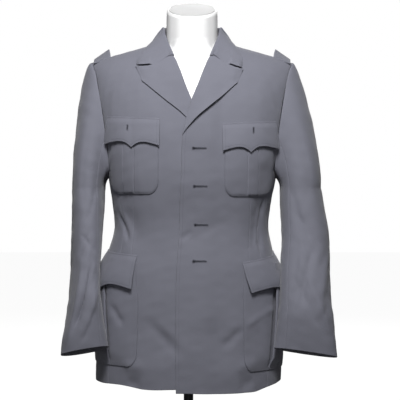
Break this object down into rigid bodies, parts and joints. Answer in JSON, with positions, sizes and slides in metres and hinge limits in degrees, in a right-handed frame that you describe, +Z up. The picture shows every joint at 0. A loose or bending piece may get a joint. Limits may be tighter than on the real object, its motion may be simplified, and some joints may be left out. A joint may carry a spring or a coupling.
{
  "type": "military-style blazer on a dress form",
  "caption": "Grey single-breasted military-style blazer with notched lapels, patch pockets and shoulder tabs, closed on a white torso form with a pole and a round base.",
  "frame": {"origin": "centre of the base's flat underside, on the floor", "axes": "+Z up along the pole, -Y the way the blazer's front faces, +X the wearer's left side"},
  "size_m": [0.5779, 0.3095, 0.993],
  "materials": {
    "wool": "matt blue-grey wool twill",
    "form_white": "smooth white, half matt",
    "steel": "satin",
    "base_black": "satin black powder coat"
  },
  "bodies": {
    "root": {"front_left": "wool", "front_right": "wool", "side_left": "wool", "side_right": "wool", "back_left": "wool", "back_right": "wool", "top_sleeve_left": "wool", "top_sleeve_right": "wool", "under_sleeve_left": "wool", "under_sleeve_right": "wool", "lapel_left": "wool", "lapel_right": "wool", "breast_pocket_left": "wool", "breast_pocket_right": "wool", "breast_flap_left": "wool", "breast_flap_right": "wool", "hip_pocket_left": "wool", "hip_pocket_right": "wool", "hip_flap_left": "wool", "hip_flap_right": "wool", "shoulder_tab_left": "wool", "shoulder_tab_right": "wool", "collar": "wool", "dress_form": "form_white", "neck_cap": "form_white", "pole": "steel", "base": "base_black"}
  },
  "joints": []
}
